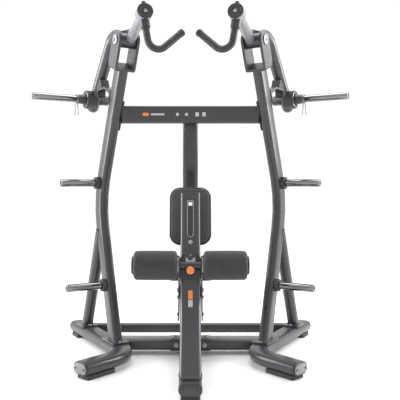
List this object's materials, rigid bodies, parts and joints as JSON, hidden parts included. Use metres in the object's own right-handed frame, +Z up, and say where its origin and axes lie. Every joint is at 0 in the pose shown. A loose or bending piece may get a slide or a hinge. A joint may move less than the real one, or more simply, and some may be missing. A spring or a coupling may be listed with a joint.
{
  "type": "lat pulldown machine",
  "caption": "Plate-loaded lat pulldown: splayed side frames carry independent pivoting levers with hooked handles; bent centre post has chest pad, knee rollers and seat.",
  "frame": {"origin": "on the floor, under the middle of the machine's box", "axes": "+Z up; -Y is the end of the foot tube with the post, +Y the end with the rear cross member; +X to the right when looking along +Y"},
  "size_m": [2.02, 1.394, 2.058],
  "materials": {
    "frame_paint": "satin",
    "lever_paint": "satin",
    "arm_silver": "satin",
    "handle_paint": "satin",
    "carriage_paint": "satin",
    "grip_rubber": "matte",
    "stop_rubber": "matte",
    "foot_rubber": "matte",
    "cap_plastic": "matte",
    "horn_chrome": "polished",
    "collar_wire": "polished",
    "shaft_zinc": "satin",
    "pad_upholstery": "satin",
    "roller_foam": "matte",
    "knob_orange": "gloss"
  },
  "bodies": {
    "frame": {"left_base_rail": "frame_paint", "right_base_rail": "frame_paint", "left_upright": "frame_paint", "right_upright": "frame_paint", "left_rear_leg": "frame_paint", "right_rear_leg": "frame_paint", "left_pivot_bracket": "frame_paint", "right_pivot_bracket": "frame_paint", "left_stop_bracket": "frame_paint", "right_stop_bracket": "frame_paint", "top_cross_beam": "frame_paint", "rear_column": "frame_paint", "rear_cross_member": "frame_paint", "left_front_cross_member": "frame_paint", "right_front_cross_member": "frame_paint", "centre_foot_tube": "frame_paint", "front_post": "frame_paint", "seat_frame": "frame_paint", "left_pivot_shaft": "shaft_zinc", "right_pivot_shaft": "shaft_zinc", "left_front_foot": "foot_rubber", "right_front_foot": "foot_rubber", "left_rear_foot": "foot_rubber", "right_rear_foot": "foot_rubber", "centre_foot": "foot_rubber", "left_front_end_cap": "cap_plastic", "right_front_end_cap": "cap_plastic", "left_rear_end_cap": "cap_plastic", "right_rear_end_cap": "cap_plastic", "centre_end_cap": "cap_plastic", "post_cover": "cap_plastic", "left_lower_storage_horn": "horn_chrome", "right_lower_storage_horn": "horn_chrome", "left_upper_storage_horn": "horn_chrome", "right_upper_storage_horn": "horn_chrome", "left_stop_bumper": "stop_rubber", "right_stop_bumper": "stop_rubber", "chest_pad": "pad_upholstery", "seat_pad": "pad_upholstery"},
    "roller_carriage": {"roller_carriage": "carriage_paint", "roller_axle": "shaft_zinc", "left_roller_end_cap": "cap_plastic", "right_roller_end_cap": "cap_plastic"},
    "pull_pin": {"pull_pin": "knob_orange"},
    "left_lever": {"left_lever_arm": "lever_paint", "left_front_arm": "arm_silver", "left_weight_horn": "horn_chrome", "left_horn_stop": "stop_rubber"},
    "left_handle": {"left_handle_bar": "handle_paint", "left_handle_grip": "grip_rubber"},
    "left_collar": {"left_spring_collar": "collar_wire"},
    "left_knee_roller": {"left_roller": "roller_foam"},
    "right_lever": {"right_lever_arm": "lever_paint", "right_front_arm": "arm_silver", "right_weight_horn": "horn_chrome", "right_horn_stop": "stop_rubber"},
    "right_handle": {"right_handle_bar": "handle_paint", "right_handle_grip": "grip_rubber"},
    "right_collar": {"right_spring_collar": "collar_wire"},
    "right_knee_roller": {"right_roller": "roller_foam"}
  },
  "joints": [
    {"name": "left_lever_pivot", "type": "hinge", "parent": "frame", "child": "left_lever", "pos_m": [-0.38559, -0.04628, 1.925], "axis": [0.8607, 0.509, 0], "range_deg": [0, 68]},
    {"name": "right_lever_pivot", "type": "hinge", "parent": "frame", "child": "right_lever", "pos_m": [0.38559, -0.04628, 1.925], "axis": [0.8607, -0.509, 0], "range_deg": [0, 68]},
    {"name": "left_handle_swivel", "type": "hinge", "parent": "left_lever", "child": "left_handle", "pos_m": [-0.25071, -0.39412, 1.99093], "axis": [-0.2979, 0.939, -0.1719], "range_deg": [-10, 45]},
    {"name": "right_handle_swivel", "type": "hinge", "parent": "right_lever", "child": "right_handle", "pos_m": [0.25071, -0.39412, 1.99093], "axis": [-0.2979, -0.939, 0.1719], "range_deg": [-10, 45]},
    {"name": "left_collar_slide", "type": "slide", "parent": "left_lever", "child": "left_collar", "axis": [-0.8607, -0.509, 0], "range_m": [0, 0.27]},
    {"name": "right_collar_slide", "type": "slide", "parent": "right_lever", "child": "right_collar", "axis": [0.8607, -0.509, 0], "range_m": [0, 0.27]},
    {"name": "carriage_slide", "type": "slide", "parent": "frame", "child": "roller_carriage", "axis": [0, 0.2504, 0.9681], "range_m": [0, 0.08]},
    {"name": "left_roller_spin", "type": "hinge", "parent": "roller_carriage", "child": "left_knee_roller", "pos_m": [0, -0.36734, 0.62703], "axis": [1, 0, 0], "continuous": true},
    {"name": "right_roller_spin", "type": "hinge", "parent": "roller_carriage", "child": "right_knee_roller", "pos_m": [0, -0.36734, 0.62703], "axis": [1, 0, 0], "continuous": true},
    {"name": "pin_pull", "type": "slide", "parent": "roller_carriage", "child": "pull_pin", "axis": [0, -0.9681, 0.2504], "range_m": [0, 0.012], "stiffness_N_per_m": 900, "springref_m": -0.01}
  ]
}
